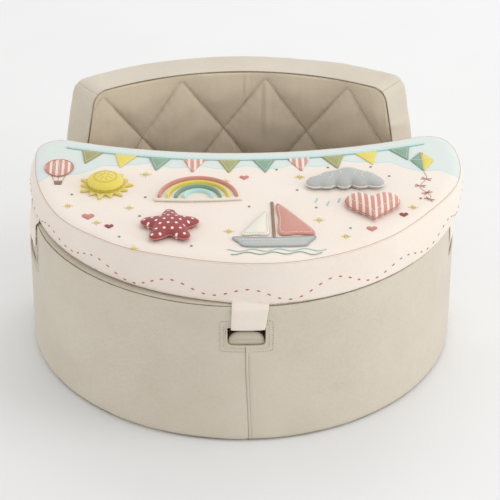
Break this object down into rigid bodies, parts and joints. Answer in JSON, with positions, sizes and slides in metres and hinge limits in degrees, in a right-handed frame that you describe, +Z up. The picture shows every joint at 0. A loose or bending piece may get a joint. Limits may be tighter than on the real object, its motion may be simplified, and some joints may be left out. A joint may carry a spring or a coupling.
{
  "type": "baby floor seat",
  "caption": "Foam floor seat for a baby: round-fronted tub with a quilted curved backrest and a strapped-on padded activity tray.",
  "frame": {"origin": "on the floor under the centre of the round front of the base", "axes": "+Z up, +Y towards the backrest, +X to the right as seen from the tray side"},
  "size_m": [0.516, 0.4321, 0.281],
  "materials": {
    "seat_foam": "open-cell polyurethane foam",
    "stone_canvas": "plain woven cotton canvas, washed stone colour",
    "quilted_canvas": "the same canvas quilted over wadding",
    "grip_fabric": "woven bottom cloth with small grip dots",
    "peach_cotton": "smooth cotton, pale peach",
    "fastening_tape": "hook and loop tape",
    "zip_tape": "woven zip tape with moulded coil",
    "zip_metal": "enamelled slider with no pull",
    "aqua_felt": "felt and brushed cotton",
    "olive_felt": "felt",
    "rose_felt": "brushed cotton over stuffing",
    "yellow_felt": "brushed cotton over stuffing",
    "grey_felt": "brushed cotton over stuffing",
    "cream_felt": "felt",
    "maroon_felt": "brushed cotton over stuffing"
  },
  "bodies": {
    "seat": {"base_core": "seat_foam", "floor_core": "seat_foam", "well_lining": "stone_canvas", "rim_cover": "stone_canvas", "side_cover_left": "stone_canvas", "side_cover_right": "stone_canvas", "rear_panel": "stone_canvas", "bottom_panel": "grip_fabric", "seat_pad": "stone_canvas", "back_core": "seat_foam", "back_quilt": "quilted_canvas", "back_top_band": "stone_canvas", "back_end_left": "stone_canvas", "back_end_right": "stone_canvas", "slot_facing_front": "stone_canvas", "slot_facing_left": "stone_canvas", "slot_facing_right": "stone_canvas", "slot_pocket_front": "stone_canvas", "slot_pocket_left": "stone_canvas", "slot_pocket_right": "stone_canvas", "loop_tape_front": "fastening_tape", "loop_tape_left": "fastening_tape", "loop_tape_right": "fastening_tape", "cover_zip": "zip_tape"},
    "tray": {"tray_core": "seat_foam", "tray_top": "peach_cotton", "tray_side_band": "peach_cotton", "tray_bottom": "peach_cotton", "bunting_tape": "aqua_felt", "bunting_olive": "olive_felt", "bunting_rose": "rose_felt", "bunting_yellow": "yellow_felt", "boat_hull": "grey_felt"},
    "slider": {"zip_slider": "zip_metal"},
    "front_strap": {"strap_front": "peach_cotton", "hook_tape_front": "fastening_tape"},
    "left_strap": {"strap_left": "peach_cotton", "hook_tape_left": "fastening_tape"},
    "right_strap": {"strap_right": "peach_cotton", "hook_tape_right": "fastening_tape"},
    "sun": {"toy_sun": "yellow_felt"},
    "heart": {"toy_heart": "rose_felt"},
    "star": {"toy_star": "maroon_felt"},
    "cloud": {"toy_cloud": "grey_felt"},
    "rainbow": {"toy_rainbow": "aqua_felt"},
    "left_sail": {"boat_sail_left": "cream_felt"},
    "right_sail": {"boat_sail_right": "rose_felt"}
  },
  "joints": [
    {"name": "tray_lift", "type": "slide", "parent": "seat", "child": "tray", "axis": [0, 0, 1], "range_m": [0, 0.05]},
    {"name": "front_strap_release", "type": "hinge", "parent": "tray", "child": "front_strap", "pos_m": [0, -0.24824, 0.1861], "axis": [-1, 0, 0], "range_deg": [0, 92]},
    {"name": "left_strap_release", "type": "hinge", "parent": "tray", "child": "left_strap", "pos_m": [-0.24297, -0.05165, 0.1861], "axis": [-0.2079, 0.9781, 0], "range_deg": [0, 92]},
    {"name": "right_strap_release", "type": "hinge", "parent": "tray", "child": "right_strap", "pos_m": [0.25344, -0.05387, 0.1861], "axis": [-0.2079, -0.9781, 0], "range_deg": [0, 92]},
    {"name": "sun_flip", "type": "hinge", "parent": "tray", "child": "sun", "pos_m": [-0.158, -0.0463, 0.2382], "axis": [-1, 0, 0], "range_deg": [0, 90]},
    {"name": "heart_flip", "type": "hinge", "parent": "tray", "child": "heart", "pos_m": [0.146, -0.1119, 0.2382], "axis": [-1, 0, 0], "range_deg": [0, 90]},
    {"name": "star_flip", "type": "hinge", "parent": "tray", "child": "star", "pos_m": [-0.084, -0.1419, 0.2382], "axis": [-1, 0, 0], "range_deg": [0, 90]},
    {"name": "cloud_flip", "type": "hinge", "parent": "tray", "child": "cloud", "pos_m": [0.116, -0.0511, 0.2382], "axis": [-1, 0, 0], "range_deg": [0, 90]},
    {"name": "rainbow_flip", "type": "hinge", "parent": "tray", "child": "rainbow", "pos_m": [-0.052, -0.1165, 0.2382], "axis": [1, 0, 0], "range_deg": [0, 90]},
    {"name": "left_sail_flip", "type": "hinge", "parent": "tray", "child": "left_sail", "pos_m": [0.026, -0.17, 0.2382], "axis": [0, 1, 0], "range_deg": [0, 90]},
    {"name": "right_sail_flip", "type": "hinge", "parent": "tray", "child": "right_sail", "pos_m": [0.038, -0.17, 0.2382], "axis": [0, -1, 0], "range_deg": [0, 90]},
    {"name": "zip_slider_travel", "type": "hinge", "parent": "seat", "child": "slider", "pos_m": [0, -0.188, 0.033], "axis": [0, 0, 1], "range_deg": [0, 49]}
  ],
  "couplings": [
    {"joint": "front_strap_release", "follows": "tray_lift", "rad_per_m": 32.1},
    {"joint": "left_strap_release", "follows": "tray_lift", "rad_per_m": 32.1},
    {"joint": "right_strap_release", "follows": "tray_lift", "rad_per_m": 32.1}
  ]
}
